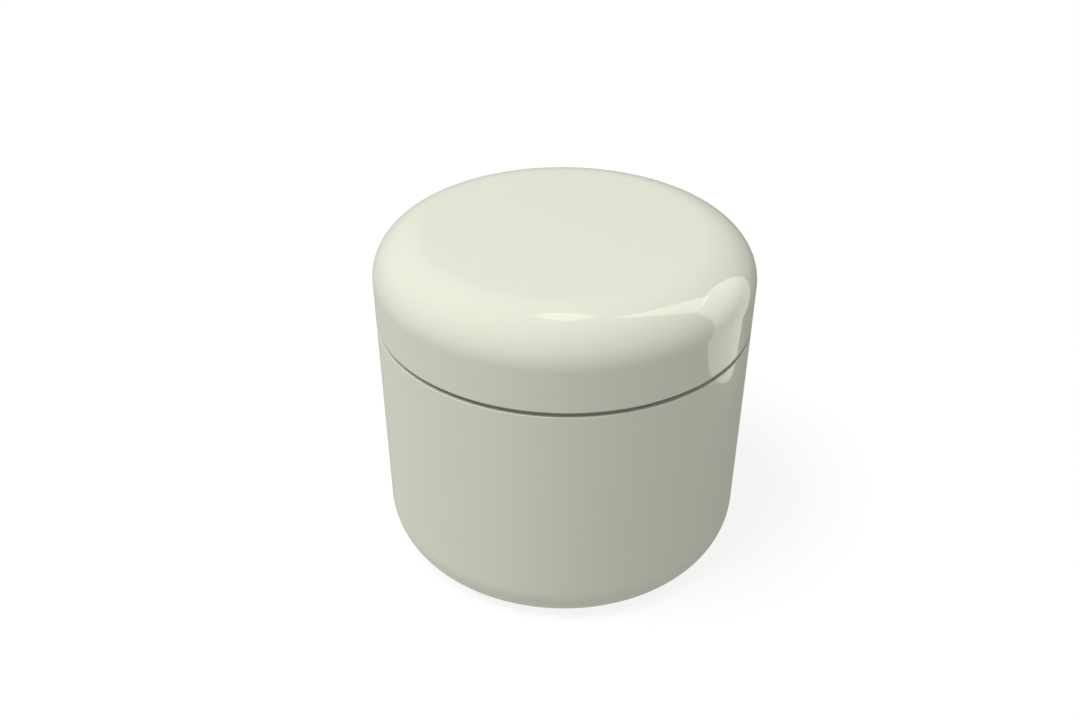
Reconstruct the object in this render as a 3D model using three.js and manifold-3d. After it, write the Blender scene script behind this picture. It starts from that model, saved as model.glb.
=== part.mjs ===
// A double-walled cosmetic cream jar with a screw cap, in millimetres, +Z up.
// The origin is the centre of the foot, on the surface that the jar stands on.
//
// Jar:  a glossy outer shell, an inner cup with a threaded neck that snaps into it, and the cream in the cup.
// Seal: a plug-shaped disc with a grip tab on a living hinge, and a ring gasket in the cap.
// Cap:  a glossy outer shell over a threaded insert.

import * as THREE from "three";
import { mergeVertices } from "three/addons/utils/BufferGeometryUtils.js";
import Module from "manifold-3d";

const wasm = await Module();
wasm.setup();

// ---- Driving dimensions ----

const OUTER_RADIUS = 31; // of the jar and of the cap
const HEIGHT = 56.4; // closed
const WALL = 1.8; // of both outer shells
const FIT = 0.3; // clearance between pieces that lie side by side
const SEAT = 0.1; // clearance between flat faces that rest on each other

const CAP_EDGE_Z = 42.3; // the cap's lower edge
const SEAM_GAP = 0.7; // the open groove under it
const SHOULDER = { across: 8.7, up: 7.1 }; // the cap's rounded shoulder, a quarter of an ellipse
const FOOT = { across: 4.85, up: 6.46 }; // the jar's rounded foot
const FOOT_RECESS = 1;

const RIM_Z = 50; // the sealing edge of the neck
const NECK_RADIUS = 24.7; // at the root of its thread
const MOUTH_RADIUS = 23;
const CUP_WALL = 1.3;
const CUP_FLOOR_Z = 5.3; // inside
const CUP_CORNER = 7; // inside
const BORE_DRAFT = 0.4; // how much narrower the bore is just above the corner
const FLANGE = { radius: 29.6, thickness: 1.2 };

const THREAD = {
  starts: 3,
  pitch: 4.5, // from one ridge to the next
  depth: 1.1,
  rootWidth: 1.6,
  crestWidth: 0.8,
  rise: 4.4, // of one ridge, from end to end
  flankOffset: 1.4, // how far the cap's ridges lie below the neck's
};
const LEAD = THREAD.starts * THREAD.pitch; // the cap rises this much in one turn
const NECK_THREAD_Z = 43.1; // the lowest point of the neck's ridges
const BORE_CLEARANCE = 0.4; // between a thread's crest and the wall that it faces

const DISC = { wall: 0.9, wellFloorZ: 44, flangeRadius: 24.5, flangeThickness: 0.8 };
const TAB = { halfWidth: 6.5, rootY: 3.9, tipY: -4, thickness: 0.8 };
const TAB_PIVOT = { y: 4.1, z: 44.7 };

const GASKET = { inner: 21.2, outer: 25.1, thickness: 1.1 };
const INSERT_WALL = 1.2;

const CREAM_LEVEL = 36.6; // at the wall
const CREAM_CROWN = 1.6;

// Facets around the axis, and half the number of segments in each rounded corner.
const SHELL_FACETS = { around: 48, arc: 3 };
const INNER_FACETS = { around: 40, arc: 2 };
const THREAD_STEP = 9; // degrees
const DEGREE = Math.PI / 180;

// ---- Sizes that follow ----

const SHELL_TOP_Z = CAP_EDGE_Z - SEAM_GAP;
const SHELL_INNER_RADIUS = OUTER_RADIUS - WALL;
const SHOULDER_CENTRE = { r: OUTER_RADIUS - SHOULDER.across, z: HEIGHT - SHOULDER.up };
const FOOT_CENTRE_R = OUTER_RADIUS - FOOT.across;
const FLANGE_TOP_Z = SHELL_TOP_Z - SEAT;
const FLANGE_BOTTOM_Z = FLANGE_TOP_Z - FLANGE.thickness;
const LEDGE_Z = FLANGE_BOTTOM_Z - SEAT;
const NECK_CREST = NECK_RADIUS + THREAD.depth;
const INSERT_BORE = NECK_CREST + BORE_CLEARANCE;
const DISC_TOP_Z = RIM_Z + SEAT + DISC.flangeThickness;
const GASKET_TOP_Z = DISC_TOP_Z + SEAT + GASKET.thickness;
const GASKET_SEAT_Z = GASKET_TOP_Z + SEAT;
const SHELL_CEILING_Z = HEIGHT - WALL;

// ---- Shared makers ----

const outline = (r, z) => new THREE.Path().moveTo(r, z);

// A closed mesh whose shared vertices are merged, as a solid for joining and cutting.
function solidOf(geometry) {
  const bare = geometry.clone().deleteAttribute("normal").deleteAttribute("uv");
  const merged = mergeVertices(bare, 1e-4);
  return new wasm.Manifold(
    new wasm.Mesh({
      numProp: 3,
      vertProperties: merged.getAttribute("position").array,
      triVerts: new Uint32Array(merged.index.array),
    }),
  );
}

function geometryOf(solid) {
  const { vertProperties, triVerts } = solid.getMesh();
  const geometry = new THREE.BufferGeometry();
  geometry.setAttribute("position", new THREE.BufferAttribute(vertProperties, 3));
  geometry.setIndex(new THREE.BufferAttribute(triVerts, 1));
  return geometry;
}

const joined = (body, pieces) =>
  geometryOf(pieces.reduce((sum, piece) => sum.add(solidOf(piece)), solidOf(body)));

// Turns an outline of radius and height about Z. The outline runs out along the underside, up the
// outside and back along the top or the inside.
function turned(path, facets) {
  return new THREE.LatheGeometry(path.getPoints(facets.arc), facets.around).rotateX(Math.PI / 2);
}

// Equal upright ribs around Z, each from one radius to another and from one height to another.
function ribs({ count, from, to, bottom, top, thickness, turn = 0 }) {
  return Array.from({ length: count }, (_, i) =>
    new THREE.BoxGeometry(to - from, thickness, top - bottom)
      .translate((from + to) / 2, 0, (bottom + top) / 2)
      .rotateZ(turn + (i * 2 * Math.PI) / count),
  );
}

// One start of the thread: a straight ridge, extruded and then wound up around Z. `side` is 1 where
// the ridge stands out of a neck and -1 where it stands into a bore.
function threadRidge({ root, side, bottomZ, startAngle, rise }) {
  const sink = 0.4; // how deep its foot is sunk into the wall
  const fade = 0.12; // the share of its length in which each end grows out of the wall
  const halfRoot = THREAD.rootWidth / 2;
  const halfCrest = THREAD.crestWidth / 2;
  const section = new THREE.Shape([
    new THREE.Vector2(-sink, -halfRoot),
    new THREE.Vector2(0, -halfRoot),
    new THREE.Vector2(THREAD.depth, -halfCrest),
    new THREE.Vector2(THREAD.depth, halfCrest),
    new THREE.Vector2(0, halfRoot),
    new THREE.Vector2(-sink, halfRoot),
  ]);
  const sweep = (rise / LEAD) * 2 * Math.PI;
  const steps = Math.ceil(sweep / (THREAD_STEP * DEGREE));
  const ridge = new THREE.ExtrudeGeometry(section, { depth: 1, steps, bevelEnabled: false });
  const position = ridge.getAttribute("position");
  for (let i = 0; i < position.count; i += 1) {
    // The way along it is reversed on a neck, so that the faces point out.
    const along = side > 0 ? 1 - position.getZ(i) : position.getZ(i);
    const grown = Math.min(1, along / fade, (1 - along) / fade);
    const out = position.getX(i);
    const radius = root + side * (out > 0 ? out * grown : out);
    const angle = startAngle + along * sweep;
    position.setXYZ(
      i,
      radius * Math.cos(angle),
      radius * Math.sin(angle),
      bottomZ + halfRoot + along * rise + position.getY(i),
    );
  }
  return ridge;
}

const threadRidges = (one) =>
  Array.from({ length: THREAD.starts }, (_, i) =>
    threadRidge({ ...one, startAngle: one.startAngle + (i * 2 * Math.PI) / THREAD.starts }),
  );

// ---- The jar ----

const SNAP = { skirtInner: 27.6, skirtOuter: 28.6, bead: 29, top: 37.9, bottom: 36.9 };

function jarShell() {
  const footInner = FOOT_CENTRE_R - 4.65;
  const floorZ = FOOT_RECESS + WALL;
  const edge = 0.4;
  const rebate = FLANGE.radius + FIT;
  const bead = { radius: SNAP.bead - 0.1, low: SNAP.top + 0.4, high: SNAP.top + 1.2 };
  const path = outline(0, FOOT_RECESS)
    .lineTo(footInner - 1, FOOT_RECESS)
    .lineTo(footInner, 0)
    .lineTo(FOOT_CENTRE_R, 0)
    .absellipse(FOOT_CENTRE_R, FOOT.up, FOOT.across, FOOT.up, -90 * DEGREE, 0)
    .lineTo(OUTER_RADIUS, SHELL_TOP_Z - edge)
    .absarc(OUTER_RADIUS - edge, SHELL_TOP_Z - edge, edge, 0, 90 * DEGREE)
    .lineTo(rebate, SHELL_TOP_Z)
    .lineTo(rebate, LEDGE_Z)
    .lineTo(SHELL_INNER_RADIUS, LEDGE_Z)
    .lineTo(SHELL_INNER_RADIUS, bead.high)
    .lineTo(bead.radius, bead.low + 0.2)
    .lineTo(SHELL_INNER_RADIUS, bead.low)
    .lineTo(SHELL_INNER_RADIUS, FOOT.up)
    .absellipse(FOOT_CENTRE_R, FOOT.up, FOOT.across - WALL, FOOT.up - WALL, 0, -90 * DEGREE, true)
    .lineTo(footInner + 0.4, WALL)
    .lineTo(footInner - 0.6, floorZ)
    .lineTo(0, floorZ);
  const cupBottomZ = CUP_FLOOR_Z - CUP_WALL;
  const supports = ribs({
    count: 6,
    from: 6,
    to: 19,
    bottom: floorZ - 0.3,
    top: cupBottomZ - FIT,
    thickness: 1.2,
  });
  return joined(turned(path, SHELL_FACETS), supports);
}

function innerCup() {
  const outerCorner = CUP_CORNER + 0.8;
  const outerRadius = MOUTH_RADIUS + CUP_WALL;
  const bottomZ = CUP_FLOOR_Z - CUP_WALL;
  const boreFoot = MOUTH_RADIUS - BORE_DRAFT;
  const chamfer = 0.3;
  const path = outline(0, bottomZ)
    .lineTo(outerRadius - outerCorner, bottomZ)
    .absarc(outerRadius - outerCorner, bottomZ + outerCorner, outerCorner, -90 * DEGREE, 0)
    .lineTo(outerRadius, FLANGE_BOTTOM_Z)
    .lineTo(SNAP.skirtInner, FLANGE_BOTTOM_Z)
    .lineTo(SNAP.skirtInner, SNAP.bottom)
    .lineTo(SNAP.skirtOuter, SNAP.bottom)
    .lineTo(SNAP.bead, SNAP.top - 0.2)
    .lineTo(SNAP.skirtOuter, SNAP.top)
    .lineTo(SNAP.skirtOuter, FLANGE_BOTTOM_Z)
    .lineTo(FLANGE.radius, FLANGE_BOTTOM_Z)
    .lineTo(FLANGE.radius, FLANGE_TOP_Z)
    .lineTo(NECK_RADIUS, FLANGE_TOP_Z)
    .lineTo(NECK_RADIUS, RIM_Z - chamfer)
    .lineTo(NECK_RADIUS - chamfer, RIM_Z)
    .lineTo(MOUTH_RADIUS + chamfer, RIM_Z)
    .lineTo(MOUTH_RADIUS, RIM_Z - chamfer)
    .lineTo(boreFoot, CUP_FLOOR_Z + CUP_CORNER)
    .absarc(boreFoot - CUP_CORNER, CUP_FLOOR_Z + CUP_CORNER, CUP_CORNER, 0, -90 * DEGREE, true)
    .lineTo(0, CUP_FLOOR_Z);
  const thread = threadRidges({
    root: NECK_RADIUS,
    side: 1,
    bottomZ: NECK_THREAD_Z,
    startAngle: 0,
    rise: THREAD.rise,
  });
  return joined(turned(path, INNER_FACETS), thread);
}

function creamFill() {
  const foot = MOUTH_RADIUS - BORE_DRAFT - FIT;
  const corner = CUP_CORNER - FIT;
  const bottomZ = CUP_FLOOR_Z + FIT;
  const topRadius = MOUTH_RADIUS - 0.4;
  const path = outline(0, bottomZ)
    .lineTo(foot - corner, bottomZ)
    .absarc(foot - corner, bottomZ + corner, corner, -90 * DEGREE, 0)
    .lineTo(topRadius, CREAM_LEVEL)
    .absellipse(0, CREAM_LEVEL, topRadius, CREAM_CROWN, 0, 90 * DEGREE);
  return turned(path, INNER_FACETS);
}

// ---- The seal ----

function sealingDisc() {
  const plug = MOUTH_RADIUS - FIT;
  const corner = 1.5;
  const inside = plug - DISC.wall;
  const bottomZ = DISC.wellFloorZ - DISC.wall;
  const path = outline(0, bottomZ)
    .lineTo(plug - corner, bottomZ)
    .absarc(plug - corner, bottomZ + corner, corner, -90 * DEGREE, 0)
    .lineTo(plug, RIM_Z + SEAT)
    .lineTo(DISC.flangeRadius, RIM_Z + SEAT)
    .lineTo(DISC.flangeRadius, DISC_TOP_Z)
    .lineTo(inside, DISC_TOP_Z)
    .lineTo(inside, DISC.wellFloorZ + 0.6)
    .lineTo(inside - 0.6, DISC.wellFloorZ)
    .lineTo(0, DISC.wellFloorZ);
  const hingeBlock = new THREE.BoxGeometry(2 * TAB.halfWidth, 2, 1).translate(
    0,
    TAB_PIVOT.y + 0.2 + 1,
    TAB_PIVOT.z - 0.5,
  );
  return joined(turned(path, INNER_FACETS), [hingeBlock]);
}

function discTab() {
  const straightTo = TAB.tipY + 4.5;
  const shape = new THREE.Shape()
    .moveTo(TAB.halfWidth, TAB.rootY)
    .lineTo(-TAB.halfWidth, TAB.rootY)
    .lineTo(-TAB.halfWidth, straightTo)
    .absellipse(0, straightTo, TAB.halfWidth, straightTo - TAB.tipY, 180 * DEGREE, 360 * DEGREE);
  const settings = { depth: TAB.thickness, bevelEnabled: false, curveSegments: 8 };
  return new THREE.ExtrudeGeometry(shape, settings).translate(
    0,
    0,
    TAB_PIVOT.z - TAB.thickness / 2,
  );
}

function capGasket() {
  const bottomZ = GASKET_TOP_Z - GASKET.thickness;
  const path = outline(GASKET.inner, bottomZ)
    .lineTo(GASKET.outer, bottomZ)
    .lineTo(GASKET.outer, GASKET_TOP_Z)
    .lineTo(GASKET.inner, GASKET_TOP_Z)
    .lineTo(GASKET.inner, bottomZ);
  return turned(path, INNER_FACETS);
}

// ---- The cap ----

const SPLINE = { count: 8, bottom: 45.1, top: 49, thickness: 1.2 };

function capInsert() {
  const ceilingZ = GASKET_SEAT_Z + 0.9;
  const groove = { inner: GASKET.inner - 0.4, outer: GASKET.outer + FIT };
  const lipRadius = groove.inner - 0.8;
  const lipZ = GASKET_SEAT_Z - 0.9;
  const outer = INSERT_BORE + INSERT_WALL;
  const skirtZ = CAP_EDGE_Z + FIT;
  const flange = { radius: SHELL_INNER_RADIUS - FIT, low: skirtZ + 1, high: skirtZ + 2.2 };
  const gap = 0.4; // to the shell's inner ellipse
  const dome = { across: SHOULDER.across - WALL - gap, up: SHOULDER.up - WALL - gap };
  const domeStart = Math.acos((outer - SHOULDER_CENTRE.r) / dome.across);
  const path = outline(0, ceilingZ)
    .lineTo(lipRadius, ceilingZ)
    .lineTo(lipRadius, lipZ)
    .lineTo(groove.inner, lipZ)
    .lineTo(groove.inner, GASKET_SEAT_Z)
    .lineTo(groove.outer, GASKET_SEAT_Z)
    .lineTo(groove.outer, RIM_Z + 0.6)
    .lineTo(INSERT_BORE, RIM_Z)
    .lineTo(INSERT_BORE, skirtZ + 0.3)
    .lineTo(INSERT_BORE + 0.3, skirtZ)
    .lineTo(outer, skirtZ)
    .lineTo(outer, flange.low)
    .lineTo(flange.radius - 0.3, flange.low)
    .lineTo(flange.radius, flange.low + 0.3)
    .lineTo(flange.radius, flange.high)
    .lineTo(outer, flange.high)
    .absellipse(
      SHOULDER_CENTRE.r,
      SHOULDER_CENTRE.z,
      dome.across,
      dome.up,
      domeStart,
      90 * DEGREE,
    )
    .lineTo(0, SHOULDER_CENTRE.z + dome.up);
  // The cap's ridges lie on the neck's helix, lowered by the flank offset.
  const bottomZ = skirtZ + 0.2;
  const climbed = bottomZ - (NECK_THREAD_Z - THREAD.flankOffset);
  const thread = threadRidges({
    root: INSERT_BORE,
    side: -1,
    bottomZ,
    startAngle: (climbed / LEAD) * 2 * Math.PI,
    rise: THREAD.rise - 0.2,
  });
  const splines = ribs({
    ...SPLINE,
    from: outer - 0.3,
    to: SHELL_INNER_RADIUS - FIT,
    bottom: flange.high - 0.2,
  });
  return joined(turned(path, INNER_FACETS), [...thread, ...splines]);
}

function capShell() {
  const edge = 0.3;
  const bead = { radius: SHELL_INNER_RADIUS - 0.6, low: CAP_EDGE_Z + 0.4, high: CAP_EDGE_Z + 1 };
  const { r, z } = SHOULDER_CENTRE;
  const path = outline(0, SHELL_CEILING_Z)
    .lineTo(r, SHELL_CEILING_Z)
    .absellipse(r, z, SHOULDER.across - WALL, SHOULDER.up - WALL, 90 * DEGREE, 0, true)
    .lineTo(SHELL_INNER_RADIUS, bead.high)
    .lineTo(bead.radius, bead.high - 0.2)
    .lineTo(bead.radius, bead.low)
    .lineTo(SHELL_INNER_RADIUS, CAP_EDGE_Z)
    .lineTo(OUTER_RADIUS - edge, CAP_EDGE_Z)
    .absarc(OUTER_RADIUS - edge, CAP_EDGE_Z + edge, edge, -90 * DEGREE, 0)
    .lineTo(OUTER_RADIUS, z)
    .absellipse(r, z, SHOULDER.across, SHOULDER.up, 0, 90 * DEGREE)
    .lineTo(0, HEIGHT);
  const splines = ribs({
    ...SPLINE,
    from: INSERT_BORE + INSERT_WALL + 0.6,
    to: SHELL_INNER_RADIUS + 0.5,
    turn: Math.PI / SPLINE.count,
  });
  return joined(turned(path, SHELL_FACETS), splines);
}

// ---- The assembly ----

const plastic = (color, roughness) =>
  new THREE.MeshStandardMaterial({ color, roughness, metalness: 0 });

const glossyIvory = plastic(0xe8e8d9, 0.22);
const satinWhite = plastic(0xf1f1ec, 0.45);
const milkyWhite = plastic(0xeff0ee, 0.4);
const foamWhite = plastic(0xf6f6f4, 0.85);
const cream = plastic(0xfbf6ea, 0.35);

const jar = new THREE.Group();
function add(name, geometry, material) {
  const mesh = new THREE.Mesh(geometry, material);
  mesh.name = name;
  jar.add(mesh);
}

add("jar_shell", jarShell(), glossyIvory);
add("inner_cup", innerCup(), satinWhite);
add("cream_fill", creamFill(), cream);
add("sealing_disc", sealingDisc(), milkyWhite);
add("disc_tab", discTab(), milkyWhite);
add("cap_gasket", capGasket(), foamWhite);
add("cap_insert", capInsert(), satinWhite);
add("cap_shell", capShell(), glossyIvory);

export default jar;
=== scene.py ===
"""The cream jar's surfaces, studio and camera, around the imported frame.

The scene is in metres with +Z up. The jar's shapes are worked out in millimetres.
"""

import math

import bmesh
import bpy
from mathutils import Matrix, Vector, noise


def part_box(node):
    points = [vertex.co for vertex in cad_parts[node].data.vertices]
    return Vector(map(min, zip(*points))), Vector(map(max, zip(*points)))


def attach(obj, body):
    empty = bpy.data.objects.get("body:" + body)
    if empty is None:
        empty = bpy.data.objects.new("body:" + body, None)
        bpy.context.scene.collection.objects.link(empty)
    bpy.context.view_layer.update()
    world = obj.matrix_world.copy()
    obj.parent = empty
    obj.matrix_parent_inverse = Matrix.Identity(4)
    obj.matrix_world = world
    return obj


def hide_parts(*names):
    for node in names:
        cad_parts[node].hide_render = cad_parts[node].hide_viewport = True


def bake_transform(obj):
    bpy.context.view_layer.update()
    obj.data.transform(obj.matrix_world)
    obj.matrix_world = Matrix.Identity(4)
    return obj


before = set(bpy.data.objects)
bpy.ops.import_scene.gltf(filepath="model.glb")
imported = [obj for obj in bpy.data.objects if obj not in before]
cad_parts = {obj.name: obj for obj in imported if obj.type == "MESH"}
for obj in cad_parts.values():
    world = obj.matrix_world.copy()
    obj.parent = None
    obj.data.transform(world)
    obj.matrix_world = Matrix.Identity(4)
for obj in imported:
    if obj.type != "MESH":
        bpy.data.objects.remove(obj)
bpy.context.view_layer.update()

MM = 0.001
TAU = 2 * math.pi

# ---- Sizes, in millimetres, taken from the frame's boxes where a box shows them ----


def box_mm(node):
    """A CAD node's lowest and highest corners, in millimetres."""
    low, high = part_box(node)
    return [v / MM for v in low], [v / MM for v in high]


CAP_LOW, CAP_HIGH = box_mm("cap_shell")
SHELL_HIGH = box_mm("jar_shell")[1]
CUP_LOW, CUP_HIGH = box_mm("inner_cup")
DISC_LOW, DISC_HIGH = box_mm("sealing_disc")
TAB_LOW, TAB_HIGH = box_mm("disc_tab")
GASKET_LOW, GASKET_HIGH = box_mm("cap_gasket")
CREAM_LOW, CREAM_HIGH = box_mm("cream_fill")

R = CAP_HIGH[0]
HEIGHT = CAP_HIGH[2]
CAP_EDGE = CAP_LOW[2]
SHELL_TOP = SHELL_HIGH[2]
RIM = CUP_HIGH[2]
CUP_BOTTOM = CUP_LOW[2]
FLANGE_R = CUP_HIGH[0]
SEATED = 0.1  # between pieces that rest on each other
FIT = 0.3  # between pieces that slide into each other
FLANGE_TOP = SHELL_TOP - SEATED
FLANGE_BOTTOM = FLANGE_TOP - 1.2

# The two outer shells. Shoulder and foot are quarter ellipses, as (width, height).
WALL = 1.8
INNER_R = R - WALL
SHOULDER = (8.7, 7.1)
FOOT = (4.85, 6.46)
FOOT_RING = 4.65
RECESS = 1.0
RIM_SLOPE = 0.3
RIB_THICK = 1.2

# The cup and its neck
NECK_R = 24.7
MOUTH_R = 23.0
BORE_FOOT_R = 22.6
CUP_R = 24.3
CUP_WALL = 0.8
CUP_FLOOR = CUP_BOTTOM + 1.3
CUP_CORNER = 7.0

# The cap's insert and its splines
INSERT_BORE = 26.2
INSERT_R = 27.4
SEAT = GASKET_HIGH[2] + SEATED
SKIRT = CAP_EDGE + FIT
SPLINE_BOTTOM = 45.1
SPLINE_TOP = 49.0
SPLINES = 8

# The three-start thread. `root` and `crest` are widths, and `fade` is the share of a start's sweep
# over which its ridge grows at either end.
THREAD = dict(starts=3, lead=13.5, depth=1.1, root=1.6, crest=0.8, fade=0.12)
NECK_THREAD_BOTTOM = 43.1
NECK_THREAD_RISE = 4.4
CAP_THREAD_RISE = 4.2
CAP_THREAD_DROP = 1.4
THREAD_ROWS = 0.08

# How finely a shape is divided
SIDES = 192
THREAD_SIDES = 240
SHARP_ANGLE = 50
CUT_SHARP_ANGLE = 40

# ---- Profiles ----


def fillet(before, corner, after, radius):
    """The points of a round that replaces a corner, a step for each 13 degrees of turn."""
    a = Vector(before) - Vector(corner)
    b = Vector(after) - Vector(corner)
    room = 0.48 * min(a.length, b.length)
    a.normalize()
    b.normalize()
    angle = math.acos(max(-1.0, min(1.0, a.dot(b))))
    if angle > math.radians(176):
        return [tuple(corner)]
    reach = min(radius / math.tan(angle / 2), room)
    radius = reach * math.tan(angle / 2)
    turn = math.pi - angle
    steps = max(3, math.ceil(math.degrees(turn) / 13))
    centre = Vector(corner) + (a + b).normalized() * (radius / math.sin(angle / 2))
    start = Vector(corner) + a * reach - centre
    end = Vector(corner) + b * reach - centre
    points = []
    for i in range(steps + 1):
        t = i / steps
        mixed = start * math.sin((1 - t) * turn) + end * math.sin(t * turn)
        points.append(tuple(centre + mixed / math.sin(turn)))
    return points


def arc(centre, size, start, end, steps):
    """Points on an ellipse, from one angle to another in degrees."""
    angles = [math.radians(start + (end - start) * i / steps) for i in range(steps + 1)]
    return [
        (centre[0] + size[0] * math.cos(a), centre[1] + size[1] * math.sin(a)) for a in angles
    ]


def profile(*parts, closed=False):
    """A list of (r, z) from corners (r, z), rounded corners (r, z, radius) and lists of (r, z)."""
    corners = []
    for part in parts:
        if isinstance(part, list):
            corners += [(r, z, 0) for r, z in part]
        else:
            corners.append((*part, 0)[:3])
    points = []
    for i, (r, z, radius) in enumerate(corners):
        if radius and (closed or 0 < i < len(corners) - 1):
            before = corners[i - 1][:2]
            after = corners[(i + 1) % len(corners)][:2]
            points += fillet(before, (r, z), after, radius)
        else:
            points.append((r, z))
    return supported(points, closed)


def supported(points, closed, near=0.18):
    """Adds a point close to each end of a long straight stretch, so that its shading stays flat."""
    out = []
    count = len(points)
    for i in range(count if closed else count - 1):
        a, b = Vector(points[i]), Vector(points[(i + 1) % count])
        out.append(tuple(a))
        length = (b - a).length
        if length > 6 * near:
            way = (b - a) / length
            out.append(tuple(a + way * near))
            out.append(tuple(b - way * near))
    if not closed:
        out.append(points[-1])
    return out


def finely(points, r, low, high, step):
    """Divides the upright stretch at radius r between two heights into short steps."""
    out = []
    for a, b in zip(points, points[1:]):
        out.append(a)
        upright = abs(a[0] - r) < 1e-6 and abs(b[0] - r) < 1e-6
        if upright and min(a[1], b[1]) < high and max(a[1], b[1]) > low:
            count = max(1, math.ceil(abs(b[1] - a[1]) / step))
            out += [(r, a[1] + (b[1] - a[1]) * i / count) for i in range(1, count)]
    out.append(points[-1])
    return out


# ---- Mesh makers ----


def new_piece(name, vertices, faces):
    """An object in the scene from points in millimetres."""
    mesh = bpy.data.meshes.new(name)
    mesh.from_pydata([[c * MM for c in v] for v in vertices], [], faces)
    mesh.validate()
    mesh.polygons.foreach_set("use_smooth", [True] * len(mesh.polygons))
    mesh.set_sharp_from_angle(angle=math.radians(SHARP_ANGLE))
    mesh.update()
    piece = bpy.data.objects.new(name, mesh)
    bpy.context.scene.collection.objects.link(piece)
    return piece


def revolve(name, points, sides=SIDES, shape=None, closed=False):
    """Turns a profile about Z, and moves each of its points by `shape` if it is given.

    The profile runs out along the underside, up and back, so the faces point out.
    """
    vertices, rings, faces = [], [], []
    for r, z in points:
        if r < 1e-6:
            rings.append([len(vertices)])
            vertices.append((0, 0, shape(0, z, 0)[1] if shape else z))
            continue
        ring = []
        for i in range(sides):
            angle = TAU * i / sides
            rr, zz = shape(r, z, angle) if shape else (r, z)
            ring.append(len(vertices))
            vertices.append((rr * math.cos(angle), rr * math.sin(angle), zz))
        rings.append(ring)
    pairs = list(zip(rings, rings[1:])) + ([(rings[-1], rings[0])] if closed else [])
    for a, b in pairs:
        for i in range(sides):
            j = (i + 1) % sides
            if len(a) == 1 and len(b) == 1:
                continue
            if len(a) == 1:
                faces.append((a[0], b[j], b[i]))
            elif len(b) == 1:
                faces.append((a[i], a[j], b[0]))
            else:
                faces.append((a[i], a[j], b[j], b[i]))
    return new_piece(name, vertices, faces)


def smoothstep(t):
    """A smooth rise from 0 at t = 0 to 1 at t = 1."""
    t = max(0.0, min(1.0, t))
    return t * t * (3 - 2 * t)


def thread_height(z, angle, bottom, start, rise):
    """How far a thread's ridge stands out of its wall at a height and an angle."""
    sweep = rise / THREAD["lead"] * TAU
    half_root, half_crest = THREAD["root"] / 2, THREAD["crest"] / 2
    most = 0.0
    for k in range(THREAD["starts"]):
        along = ((angle - start - k * TAU / THREAD["starts"]) % TAU) / sweep
        if along > 1:
            continue
        off = abs(z - (bottom + half_root + along * rise))
        grown = smoothstep(min(1, along / THREAD["fade"], (1 - along) / THREAD["fade"]))
        flank = smoothstep((half_root - off) / (half_root - half_crest))
        most = max(most, THREAD["depth"] * flank * grown)
    return most


def unite(piece, *others):
    """Makes one closed surface of a piece and others that cut into it."""
    for other in others:
        cut = piece.modifiers.new("unite", "BOOLEAN")
        cut.operation = "UNION"
        cut.solver = "EXACT"
        cut.object = other
        bpy.context.view_layer.objects.active = piece
        bpy.ops.object.modifier_apply(modifier=cut.name)
        bpy.data.objects.remove(other)
    weld_slivers(piece.data)
    piece.data.set_sharp_from_angle(angle=math.radians(CUT_SHARP_ANGLE))
    return piece


def weld_slivers(mesh):
    """Merges points that a cut leaves almost at the same place, so that every face has a width."""
    distance = 0.002 * MM
    work = bmesh.new()
    work.from_mesh(mesh)
    bmesh.ops.remove_doubles(work, verts=work.verts, dist=distance)
    bmesh.ops.dissolve_degenerate(work, edges=work.edges, dist=distance)
    work.to_mesh(mesh)
    work.free()


def bevel(piece, radius, sharper_than=None):
    """Rounds a piece's edges, or only those that turn by more than an angle in degrees."""
    modifier = piece.modifiers.new("round", "BEVEL")
    modifier.width = radius * MM
    modifier.segments = 3
    if sharper_than:
        modifier.limit_method = "ANGLE"
        modifier.angle_limit = math.radians(sharper_than)
    bpy.context.view_layer.objects.active = piece
    bpy.ops.object.modifier_apply(modifier=modifier.name)


def soft_block(name, low, high, radius, turn=0.0):
    """A block with rounded edges between two corners, turned about Z."""
    (x0, y0, z0), (x1, y1, z1) = low, high
    corners = [(x, y, z) for z in (z0, z1) for x, y in ((x0, y0), (x1, y0), (x1, y1), (x0, y1))]
    c, s = math.cos(turn), math.sin(turn)
    vertices = [(x * c - y * s, x * s + y * c, z) for x, y, z in corners]
    faces = [(3, 2, 1, 0), (4, 5, 6, 7), (0, 1, 5, 4), (1, 2, 6, 5), (2, 3, 7, 6), (3, 0, 4, 7)]
    piece = new_piece(name, vertices, faces)
    bevel(piece, radius)
    return piece


def ribs_around(name, count, inner, outer, bottom, top, turn=0.0):
    """Upright ribs that stand around the axis like spokes."""
    return [
        soft_block(
            f"{name}_{i}",
            (inner, -RIB_THICK / 2, bottom),
            (outer, RIB_THICK / 2, top),
            0.2,
            turn + TAU * i / count,
        )
        for i in range(count)
    ]


# ---- Materials ----


def srgb(r, g, b):
    """A linear colour from screen values of 0 to 255."""

    def linear(v):
        v /= 255
        return v / 12.92 if v <= 0.04045 else ((v + 0.055) / 1.055) ** 2.4

    return (linear(r), linear(g), linear(b), 1.0)


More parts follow.
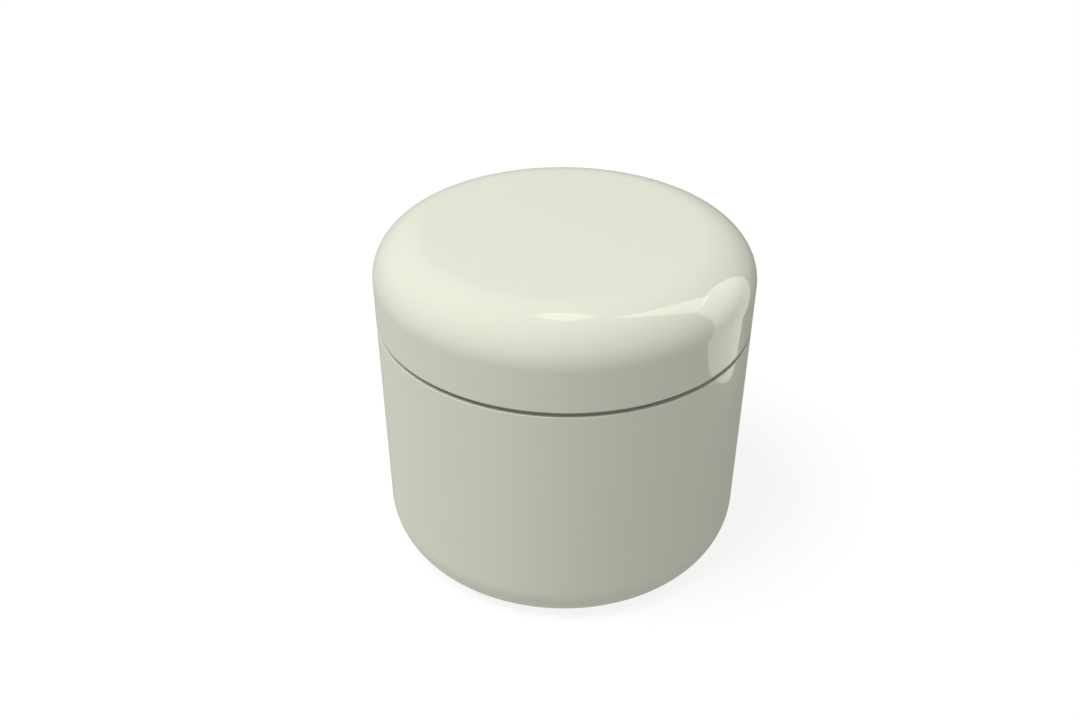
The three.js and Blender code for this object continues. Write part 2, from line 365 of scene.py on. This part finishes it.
def shaded(name, color, roughness, settings, tint=0.02, tint_size=6.0, bumps=()):
    """A moulded or soft material, a little uneven in colour, roughness and height.

    `settings` are uniform values by socket. `bumps` are (size, strength, depth, kind), with sizes
    in millimetres.
    """
    material = bpy.data.materials.new(name)
    material.use_nodes = True
    tree = material.node_tree
    nodes, links = tree.nodes, tree.links
    shader = nodes["Principled BSDF"]
    for socket, value in settings.items():
        shader.inputs[socket].default_value = value
    place = nodes.new("ShaderNodeTexCoord").outputs["Object"]

    def noise_of(size):
        texture = nodes.new("ShaderNodeTexNoise")
        texture.inputs["Scale"].default_value = 1 / (size * MM)
        texture.inputs["Detail"].default_value = 3
        links.new(place, texture.inputs["Vector"])
        return texture.outputs["Fac"]

    noise_low, noise_high = 0.1, 0.9

    def ranged(value, low, high):
        spread = nodes.new("ShaderNodeMapRange")
        spread.inputs["From Min"].default_value = noise_low
        spread.inputs["From Max"].default_value = noise_high
        spread.inputs["To Min"].default_value = low
        spread.inputs["To Max"].default_value = high
        links.new(value, spread.inputs["Value"])
        return spread.outputs["Result"]

    ramp = nodes.new("ShaderNodeValToRGB")
    darker, lighter = ramp.color_ramp.elements
    darker.position, lighter.position = noise_low, noise_high
    darker.color = [c * (1 - tint) for c in color[:3]] + [1]
    lighter.color = [min(1, c * (1 + tint)) for c in color[:3]] + [1]
    links.new(noise_of(tint_size), ramp.inputs["Fac"])
    links.new(ramp.outputs["Color"], shader.inputs["Base Color"])
    links.new(ranged(noise_of(tint_size * 0.6), *roughness), shader.inputs["Roughness"])

    normal = None
    for size, strength, depth, kind in bumps:
        if kind == "cells":
            texture = nodes.new("ShaderNodeTexVoronoi")
            texture.inputs["Scale"].default_value = 1 / (size * MM)
            links.new(place, texture.inputs["Vector"])
            height = texture.outputs["Distance"]
        else:
            height = noise_of(size)
        bump = nodes.new("ShaderNodeBump")
        bump.inputs["Strength"].default_value = strength
        bump.inputs["Distance"].default_value = depth * MM
        links.new(height, bump.inputs["Height"])
        if normal:
            links.new(normal, bump.inputs["Normal"])
        normal = bump.outputs["Normal"]
    if normal:
        links.new(normal, shader.inputs["Normal"])
        links.new(normal, shader.inputs["Coat Normal"])
    return material


IVORY = (0.72, 0.72, 0.614, 1.0)

glossy_shell = shaded(
    "glossy_ivory",
    IVORY,
    (0.26, 0.34),
    {
        "IOR": 1.45,
        "Specular IOR Level": 0.1,
        "Coat Weight": 1.0,
        "Coat Roughness": 0.0,
        "Coat IOR": 1.5,
        "Subsurface Weight": 0.25,
        "Subsurface Radius": (1.0, 1.0, 0.85),
        "Subsurface Scale": 0.0012,
    },
    tint=0.004,
    tint_size=15,
    bumps=((2.4, 0.2, 0.003, "noise"), (0.35, 0.1, 0.0008, "noise")),
)
satin_cup = shaded(
    "satin_white",
    srgb(236, 236, 230),
    (0.34, 0.44),
    {
        "IOR": 1.49,
        "Subsurface Weight": 0.12,
        "Subsurface Radius": (1.0, 0.97, 0.9),
        "Subsurface Scale": 0.001,
    },
    tint=0.012,
    bumps=((0.22, 0.3, 0.01, "noise"),),
)
milky_seal = shaded(
    "milky_seal",
    srgb(226, 229, 227),
    (0.28, 0.38),
    {
        "IOR": 1.51,
        "Subsurface Weight": 0.35,
        "Subsurface Radius": (0.95, 0.98, 1.0),
        "Subsurface Scale": 0.0012,
    },
    tint=0.015,
    bumps=((0.3, 0.3, 0.012, "noise"),),
)
foam = shaded(
    "foam_gasket",
    srgb(243, 243, 240),
    (0.8, 0.95),
    {"IOR": 1.45},
    tint=0.02,
    tint_size=1.5,
    bumps=((0.28, 0.8, 0.06, "cells"),),
)
cream_look = shaded(
    "whipped_cream_white",
    (0.79, 0.77, 0.71, 1.0),
    (0.3, 0.42),
    {
        "IOR": 1.42,
        "Subsurface Weight": 0.5,
        "Subsurface Radius": (1.0, 0.95, 0.85),
        "Subsurface Scale": 0.0015,
    },
    tint=0.01,
    tint_size=5,
    bumps=((1.3, 0.3, 0.04, "noise"),),
)


def place(piece, node, body, slot, material):
    """Gives a piece its material, and puts it in a CAD node's place."""
    piece.data.materials.clear()
    piece.data.materials.append(material)
    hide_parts(node)
    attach(piece, body)


# ---- The jar ----


def jar_body():
    """The outer shell: a foot ring round a recess with a gate mark, a snap bead and a rebate."""
    foot_r = R - FOOT[0]
    foot_inner = foot_r - FOOT_RING
    floor = RECESS + WALL
    rebate = FLANGE_R + FIT
    ledge = FLANGE_BOTTOM - SEATED
    gate_r, gate = 1.6, RECESS - 0.3
    bead_low, bead_tip, bead_high, bead_depth = 38.3, 38.5, 39.1, 0.3
    points = profile(
        (0, gate),
        (gate_r, gate, 0.15),
        (gate_r + 0.5, RECESS, 0.3),
        (foot_inner - 1, RECESS, 0.5),
        (foot_inner, 0, 0.5),
        (foot_r, 0),
        arc((foot_r, FOOT[1]), FOOT, -90, 0, 24)[1:],
        (R, SHELL_TOP, 0.06),
        (rebate, SHELL_TOP - RIM_SLOPE, 0.15),
        (rebate, ledge, 0.15),
        (INNER_R, ledge, 0.2),
        (INNER_R, bead_high),
        (INNER_R - bead_depth, bead_tip, 0.1),
        (INNER_R, bead_low),
        (INNER_R, FOOT[1]),
        arc((foot_r, FOOT[1]), (FOOT[0] - WALL, FOOT[1] - WALL), 0, -90, 10)[1:],
        (foot_inner + 0.4, WALL, 0.5),
        (foot_inner - 0.6, floor, 0.5),
        (0, floor),
    )
    shell = revolve("jar_body", points)
    ribs = ribs_around("rib", 6, 6, 19, floor - 0.3, CUP_BOTTOM - FIT)
    return unite(shell, *ribs)


def neck_thread(r, z, angle):
    if abs(r - NECK_R) > 1e-6:
        return r, z
    return r + thread_height(z, angle, NECK_THREAD_BOTTOM, 0.0, NECK_THREAD_RISE), z


def cup():
    """The inner cup, its flange with a snap skirt and a stop bead, and the threaded neck."""
    corner = CUP_CORNER + CUP_WALL
    skirt_in, skirt_out, skirt_foot, barb = 27.6, 28.6, 36.9, 0.4
    stop_in, stop_out, stop_top = 28.1, 29.1, FLANGE_TOP + 0.6
    thread_span = (42, 49.6)
    points = profile(
        (0, CUP_BOTTOM),
        arc((CUP_R - corner, CUP_BOTTOM + corner), (corner, corner), -90, 0, 12),
        (CUP_R, FLANGE_BOTTOM, 0.4),
        (skirt_in, FLANGE_BOTTOM, 0.3),
        (skirt_in, skirt_foot, 0.2),
        (skirt_out, skirt_foot, 0.2),
        (skirt_out + barb, skirt_foot + 0.8, 0.1),
        (skirt_out, skirt_foot + 1, 0.1),
        (skirt_out, FLANGE_BOTTOM, 0.15),
        (FLANGE_R, FLANGE_BOTTOM, 0.2),
        (FLANGE_R, FLANGE_TOP, 0.3),
        (stop_out, FLANGE_TOP, 0.1),
        (stop_out - 0.1, stop_top, 0.2),
        (stop_in + 0.1, stop_top, 0.2),
        (stop_in, FLANGE_TOP, 0.1),
        (NECK_R + 0.05, FLANGE_TOP, 0.35),
        (NECK_R, FLANGE_TOP + 0.5),
        (NECK_R, RIM, 0.45),
        (MOUTH_R, RIM, 0.45),
        (BORE_FOOT_R, CUP_FLOOR + CUP_CORNER),
        arc(
            (BORE_FOOT_R - CUP_CORNER, CUP_FLOOR + CUP_CORNER), (CUP_CORNER, CUP_CORNER), 0, -90, 12
        )[1:],
        (0, CUP_FLOOR),
    )
    points = finely(points, NECK_R, *thread_span, THREAD_ROWS)
    return revolve("cup_and_neck", points, THREAD_SIDES, neck_thread)


def cream_height(r, angle):
    """The cream's height above its level at the wall.

    The filling nozzle leaves a spiral ridge and a small peak on a low crown, and the cream climbs
    a little at the wall.
    """
    t = r / (MOUTH_R - FIT)
    ridge_pitch, ridge, trough = 6.4, 1.5, 0.85
    waver = 0.5 * math.sin(angle * 2 + 1.0) * t
    wave = (0.5 + 0.5 * math.cos(angle - TAU * (r / ridge_pitch) + waver)) ** 1.4
    fade = smoothstep((1 - t) / 0.16) * smoothstep(r / 2.2)
    crown = 1.3 * (1 - t * t)
    peak = 0.95 * math.exp(-((r / 1.9) ** 2))
    x, y = r * math.cos(angle), r * math.sin(angle)
    uneven = 0.28 * noise.noise(Vector((x * 0.16, y * 0.16, 3.7))) * (1 - t * t)
    climb = 0.45 * smoothstep((t - 0.93) / 0.07)
    return crown + peak + climb + fade * (ridge * wave - trough) + uneven


def cream():
    level = CREAM_HIGH[2] - 2.35
    bottom = CREAM_LOW[2]
    corner = CUP_CORNER - FIT
    foot = BORE_FOOT_R - FIT
    top_r = MOUTH_R - 0.16
    side = arc((foot - corner, bottom + corner), (corner, corner), -90, 0, 8)
    ring_count = 110
    top = [(top_r * (1 - i / ring_count), level) for i in range(ring_count + 1)]
    points = [(0, bottom), *side, *top]

    def swirl(r, z, angle):
        if z < level - 1e-6:
            return r, z
        return r, level + cream_height(r, angle)

    return revolve("cream_swirl", points, THREAD_SIDES, swirl)


# ---- The seal ----


def seal_plug():
    """The sealing disc: a plug with a rim that rests on the neck, a well and a hinge block."""
    thick = 0.9
    plug = MOUTH_R - FIT
    inside = plug - thick
    well = DISC_LOW[2] + thick
    ring_in, ring_out, ring_height = 18.0, 19.0, 0.18
    points = profile(
        (0, DISC_LOW[2]),
        (plug, DISC_LOW[2], 1.5),
        (plug, RIM + SEATED, 0.12),
        (DISC_HIGH[0], RIM + SEATED, 0.25),
        (DISC_HIGH[0], DISC_HIGH[2], 0.3),
        (inside, DISC_HIGH[2], 0.35),
        (inside, well, 0.9),
        (ring_out, well, 0.2),
        (ring_out - 0.2, well + ring_height, 0.15),
        (ring_in + 0.2, well + ring_height, 0.15),
        (ring_in, well, 0.2),
        (0, well),
    )
    disc = revolve("seal_plug", points)
    half, y = TAB_HIGH[:2]
    block = soft_block(
        "hinge_block", (-half, y + 0.4, well - 0.3), (half, y + 2.4, well + 0.7), 0.2
    )
    return unite(disc, block)


def seal_tab():
    """A tongue with a rounded tip and three grip ribs on its upper side."""
    half, root, tip = TAB_HIGH[0], TAB_HIGH[1], TAB_LOW[1]
    low, high = TAB_LOW[2], TAB_HIGH[2]
    straight = tip + 4.5
    outline = [(half, root), (-half, root), (-half, straight)]
    outline += [
        (half * math.cos(a), straight + (straight - tip) * math.sin(a))
        for a in (math.radians(180 + 180 * i / 32) for i in range(1, 32))
    ]
    outline.append((half, straight))
    count = len(outline)
    outline.reverse()
    vertices = [(x, y, z) for z in (low, high) for x, y in outline]
    faces = [tuple(range(count)), tuple(range(2 * count - 1, count - 1, -1))]
    faces += [(i, i + count, (i + 1) % count + count, (i + 1) % count) for i in range(count)]
    tab = new_piece("seal_tab", vertices, faces)
    bevel(tab, 0.16, sharper_than=50)
    rib_places = ((-2.6, 2.6), (-1.4, 3.4), (-0.2, 4.0))  # y and half the length
    ribs = [
        soft_block(f"grip_{i}", (-w, y - 0.3, high - 0.2), (w, y + 0.3, high + 0.28), 0.14)
        for i, (y, w) in enumerate(rib_places)
    ]
    return unite(tab, *ribs)


def hinge_web():
    """The thin strip of plastic that joins the tab to the disc."""
    half = TAB_HIGH[0] - 0.5
    y0 = TAB_HIGH[1] - 0.25
    y1 = y0 + 0.9
    z = (TAB_LOW[2] + TAB_HIGH[2]) / 2 - 0.12
    thick = 0.18
    rows = 10
    vertices, faces = [], []
    for i in range(rows + 1):
        y = y0 + (y1 - y0) * i / rows
        vertices += [(-half, y, z), (half, y, z), (half, y, z + thick), (-half, y, z + thick)]
    for i in range(rows):
        a, b = 4 * i, 4 * i + 4
        for j in range(4):
            k = (j + 1) % 4
            faces.append((a + j, b + j, b + k, a + k))
    faces += [(0, 1, 2, 3), tuple(4 * rows + j for j in (3, 2, 1, 0))]
    return new_piece("hinge_web", vertices, faces)


def gasket():
    inner, outer = 21.2, GASKET_HIGH[0]
    low, high = GASKET_LOW[2], GASKET_HIGH[2]
    points = profile(
        (inner, low, 0.2),
        (outer, low, 0.2),
        (outer, high, 0.12),
        (inner, high, 0.12),
        closed=True,
    )
    return revolve("foam_ring", points, closed=True)


# ---- The cap ----


def insert_thread(r, z, angle):
    if abs(r - INSERT_BORE) > 1e-6:
        return r, z
    bottom = SKIRT + 0.2
    start = (bottom - (NECK_THREAD_BOTTOM - CAP_THREAD_DROP)) / THREAD["lead"] * TAU
    return r - thread_height(z, angle, bottom, start, CAP_THREAD_RISE), z


def insert():
    """The cap's threaded liner: a seat for the gasket, a snap flange and splines."""
    ceiling = SEAT + 0.9
    lip = SEAT - 0.9
    gate_r, gate = 1.4, ceiling - 0.25
    groove_in, groove_out, lip_width = 20.8, 25.4, 0.8
    centre = (R - SHOULDER[0], HEIGHT - SHOULDER[1])
    dome = (SHOULDER[0] - WALL - 0.4, SHOULDER[1] - WALL - 0.4)
    start = math.degrees(math.acos((INSERT_R - centre[0]) / dome[0]))
    flange_r, flange_bottom, flange_top = INNER_R - FIT, SKIRT + 1, SKIRT + 2.2
    points = profile(
        (0, gate),
        (gate_r, gate, 0.1),
        (gate_r + 0.5, ceiling, 0.2),
        (groove_in - lip_width, ceiling, 0.4),
        (groove_in - lip_width, lip, 0.3),
        (groove_in, lip, 0.3),
        (groove_in, SEAT, 0.1),
        (groove_out, SEAT, 0.1),
        (groove_out, RIM + 0.6, 0.2),
        (INSERT_BORE, RIM, 0.2),
        (INSERT_BORE, SKIRT, 0.35),
        (INSERT_R, SKIRT, 0.3),
        (INSERT_R, flange_bottom, 0.15),
        (flange_r, flange_bottom, 0.3),
        (flange_r, flange_top, 0.15),
        (INSERT_R, flange_top, 0.15),
        arc(centre, dome, start, 90, 12),
        (0, centre[1] + dome[1]),
    )
    points = finely(points, INSERT_BORE, SKIRT, RIM, THREAD_ROWS)
    body = revolve("cap_liner", points, THREAD_SIDES, insert_thread)
    splines = ribs_around(
        "spline", SPLINES, INSERT_R - 0.3, INNER_R - FIT, flange_top - 0.2, SPLINE_TOP
    )
    return unite(body, *splines)


def cap_dome():
    """The cap's outer shell: an elliptical shoulder, a snap bead and splines inside."""
    centre = (R - SHOULDER[0], HEIGHT - SHOULDER[1])
    inner = (SHOULDER[0] - WALL, SHOULDER[1] - WALL)
    bead_r = INNER_R - 0.6
    points = profile(
        (0, HEIGHT - WALL),
        arc(centre, inner, 90, 0, 12),
        (INNER_R, CAP_EDGE + 1),
        (bead_r, CAP_EDGE + 0.8, 0.15),
        (bead_r, CAP_EDGE + 0.4, 0.15),
        (INNER_R, CAP_EDGE, 0.2),
        (R, CAP_EDGE, 0.2),
        arc(centre, SHOULDER, 0, 90, 32),
        (0, HEIGHT),
    )
    shell = revolve("cap_dome", points)
    splines = ribs_around(
        "spline",
        SPLINES,
        INSERT_R + 0.6,
        INNER_R + 0.5,
        SPLINE_BOTTOM,
        SPLINE_TOP,
        turn=math.pi / SPLINES,
    )
    return unite(shell, *splines)


place(jar_body(), "jar_shell", "jar", "glossy_shell", glossy_shell)
place(cup(), "inner_cup", "jar", "satin_cup", satin_cup)
place(cream(), "cream_fill", "jar", "cream", cream_look)
place(seal_plug(), "sealing_disc", "disc", "milky_seal", milky_seal)
place(seal_tab(), "disc_tab", "tab", "milky_seal", milky_seal)
place(gasket(), "cap_gasket", "gasket", "foam_gasket", foam)
place(insert(), "cap_insert", "cap", "satin_cup", satin_cup)
place(cap_dome(), "cap_shell", "cap", "glossy_shell", glossy_shell)

web = hinge_web()
web.data.materials.append(milky_seal)
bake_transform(web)

# ---- The studio ----


MIDDLE = (0, 0, 0.03)
PANEL_TINT = (1.0, 1.0, 0.86)
LENS_MM = 35.67
CAMERA_PLACE = (0, -0.15439, 0.13199)
CAMERA_TARGET = (-0.00394, 0, 0.03116)


def floor():
    """A white table with its own light, so that it stays white and keeps a soft shadow.

    Only the camera sees it. The domes light the jar from below in its place.
    """
    mesh = bpy.data.meshes.new("floor")
    half = 2.5
    corners = [(-half, -half, 0), (half, -half, 0), (half, half, 0), (-half, half, 0)]
    mesh.from_pydata(corners, [], [(0, 1, 2, 3)])
    plane = bpy.data.objects.new("floor", mesh)
    bpy.context.scene.collection.objects.link(plane)
    lit_table = shaded(
        "lit_table",
        (0.18, 0.18, 0.18, 1),
        (0.85, 0.95),
        {"IOR": 1.2, "Emission Color": (1, 1, 1, 1), "Emission Strength": 0.82},
        tint=0.002,
        tint_size=40,
    )
    lit_table.cycles.emission_sampling = "NONE"
    mesh.materials.append(lit_table)
    plane.visible_glossy = False
    plane.visible_diffuse = False


def dome(name, radius, strength, seen_by):
    """A white dome around everything that only one kind of ray sees."""
    bpy.ops.mesh.primitive_uv_sphere_add(segments=32, ring_count=16, radius=radius)
    sphere = bpy.context.object
    sphere.name = name
    white = bpy.data.materials.new(name)
    white.use_nodes = True
    shader = white.node_tree.nodes["Principled BSDF"]
    shader.inputs["Base Color"].default_value = (0, 0, 0, 1)
    shader.inputs["Specular IOR Level"].default_value = 0
    shader.inputs["Emission Color"].default_value = (1, 1, 1, 1)
    shader.inputs["Emission Strength"].default_value = strength
    white.cycles.emission_sampling = "NONE"
    sphere.data.materials.append(white)
    for way in ("camera", "diffuse", "glossy", "transmission", "shadow"):
        setattr(sphere, f"visible_{way}", way == seen_by)


def turned_to(location, target):
    """The turn that points a light or a camera at a target."""
    return (Vector(target) - Vector(location)).to_track_quat("-Z", "Y").to_euler()


def area_light(name, location, target, size, power, diffuse=True, glossy=True):
    """A rectangular light that the camera doesn't see."""
    data = bpy.data.lights.new(name, "AREA")
    data.shape = "RECTANGLE"
    data.size, data.size_y = size
    data.energy = power
    light = bpy.data.objects.new(name, data)
    light.location = location
    light.rotation_euler = turned_to(location, target)
    light.visible_camera = False
    light.visible_diffuse = diffuse
    light.visible_glossy = glossy
    bpy.context.scene.collection.objects.link(light)
    return light


def from_angles(azimuth, elevation, distance):
    """A place at an angle from +X, an angle above the floor and a distance from the middle."""
    a, e = math.radians(azimuth), math.radians(elevation)
    across = distance * math.cos(e)
    return (across * math.cos(a), across * math.sin(a), MIDDLE[2] + distance * math.sin(e))


def reflection_panel(
    name, location, target, size, radiance, lens=False, half=False, low=None, roll=0.0
):
    """A light that shows only as a reflection, with rounded corners.

    A lens has pointed ends instead, and half a lens has its full height at the right. With `low`,
    the light falls to that radiance at the bottom. `roll` turns it in its own plane, in degrees.
    """
    power = math.pi * size[0] * size[1]
    light = area_light(name, location, target, size, power, diffuse=False)
    light.rotation_euler.rotate_axis("Z", math.radians(roll))
    data = light.data
    data.color = PANEL_TINT
    data.use_nodes = True
    nodes, links = data.node_tree.nodes, data.node_tree.links

    def math_node(operation, *values):
        node = nodes.new("ShaderNodeMath")
        node.operation = operation
        for i, value in enumerate(values):
            if isinstance(value, (int, float)):
                node.inputs[i].default_value = value
            else:
                links.new(value, node.inputs[i])
        return node.outputs[0]

    split = nodes.new("ShaderNodeSeparateXYZ")
    links.new(nodes.new("ShaderNodeNewGeometry").outputs["Parametric"], split.inputs["Vector"])
    across, up = split.outputs["X"], split.outputs["Y"]
    if half:
        off_x = math_node("SUBTRACT", 1.0, across)
    else:
        off_x = math_node("ABSOLUTE", math_node("MULTIPLY_ADD", across, 2.0, -1.0))
    off_y = math_node("ABSOLUTE", math_node("MULTIPLY_ADD", up, 2.0, -1.0))
    powers = (2.0, 1.0) if lens else (5.0, 5.0)
    sum_of_powers = math_node(
        "ADD", math_node("POWER", off_x, powers[0]), math_node("POWER", off_y, powers[1])
    )
    inside = math_node("LESS_THAN", sum_of_powers, 1.0)
    level = radiance
    if low is not None:
        slant = math_node("MULTIPLY_ADD", across, -0.25, up)
        spread = nodes.new("ShaderNodeMapRange")
        for socket, value in (
            ("From Min", 0.3), ("From Max", 0.55), ("To Min", low), ("To Max", radiance)
        ):
            spread.inputs[socket].default_value = value
        links.new(slant, spread.inputs["Value"])
        level = spread.outputs["Result"]
    links.new(math_node("MULTIPLY", inside, level), nodes["Emission"].inputs["Strength"])


def overhead_strip(name, x, y, size, radiance, **shape):
    """A lens of light that faces straight down from 0.3 m above the floor."""
    reflection_panel(name, (x, y, 0.3), (x, y, 0), size, radiance, lens=True, **shape)


floor()
dome("backdrop", 2.4, 1.0, "camera")
dome("soft_surround", 2.3, 0.51, "diffuse")
area_light("key_softbox", from_angles(-156, 65, 2.0), MIDDLE, (1.0, 1.0), 29.5, glossy=False)

facing = math.radians(22)
right = Vector((math.cos(facing), math.sin(facing), 0))
along = Vector((-right.y, right.x, 0))
panel = right * 0.075 - along * 0.028 + Vector((0, 0, 0.053))
reflection_panel("right_panel", panel, panel - right, (0.05, 0.106), 2.2, low=1.0)
overhead_strip("top_strip_left", 0.001, 0.03, (0.078, 0.08), 2.3)
overhead_strip("top_strip_right", 0.203, 0.037, (0.277, 0.12), 2.6, half=True, roll=13)

# What the gloss reflects all round: brighter at the left than at the right.
world = bpy.data.worlds.new("studio")
bpy.context.scene.world = world
world.use_nodes = True
background = world.node_tree.nodes["Background"]
background.inputs["Color"].default_value = (*PANEL_TINT, 1)
direction = world.node_tree.nodes.new("ShaderNodeTexCoord").outputs["Generated"]
sideways = world.node_tree.nodes.new("ShaderNodeSeparateXYZ")
world.node_tree.links.new(direction, sideways.inputs["Vector"])
fall = world.node_tree.nodes.new("ShaderNodeMapRange")
fall.interpolation_type = "SMOOTHSTEP"
for socket, value in (("From Min", -0.6), ("From Max", 0.6), ("To Min", 0.62), ("To Max", 0.3)):
    fall.inputs[socket].default_value = value
world.node_tree.links.new(sideways.outputs["X"], fall.inputs["Value"])
world.node_tree.links.new(fall.outputs["Result"], background.inputs["Strength"])
world.cycles_visibility.camera = False
world.cycles_visibility.diffuse = False

bpy.context.scene.view_settings.view_transform = "Standard"
bpy.context.scene.view_settings.look = "None"

lens = bpy.data.cameras.new("camera")
lens.lens = LENS_MM
lens.sensor_width = 36
lens.clip_start = 0.005
camera = bpy.data.objects.new("camera", lens)
camera.location = CAMERA_PLACE
camera.rotation_euler = turned_to(CAMERA_PLACE, CAMERA_TARGET)
bpy.context.scene.collection.objects.link(camera)
bpy.context.scene.camera = camera
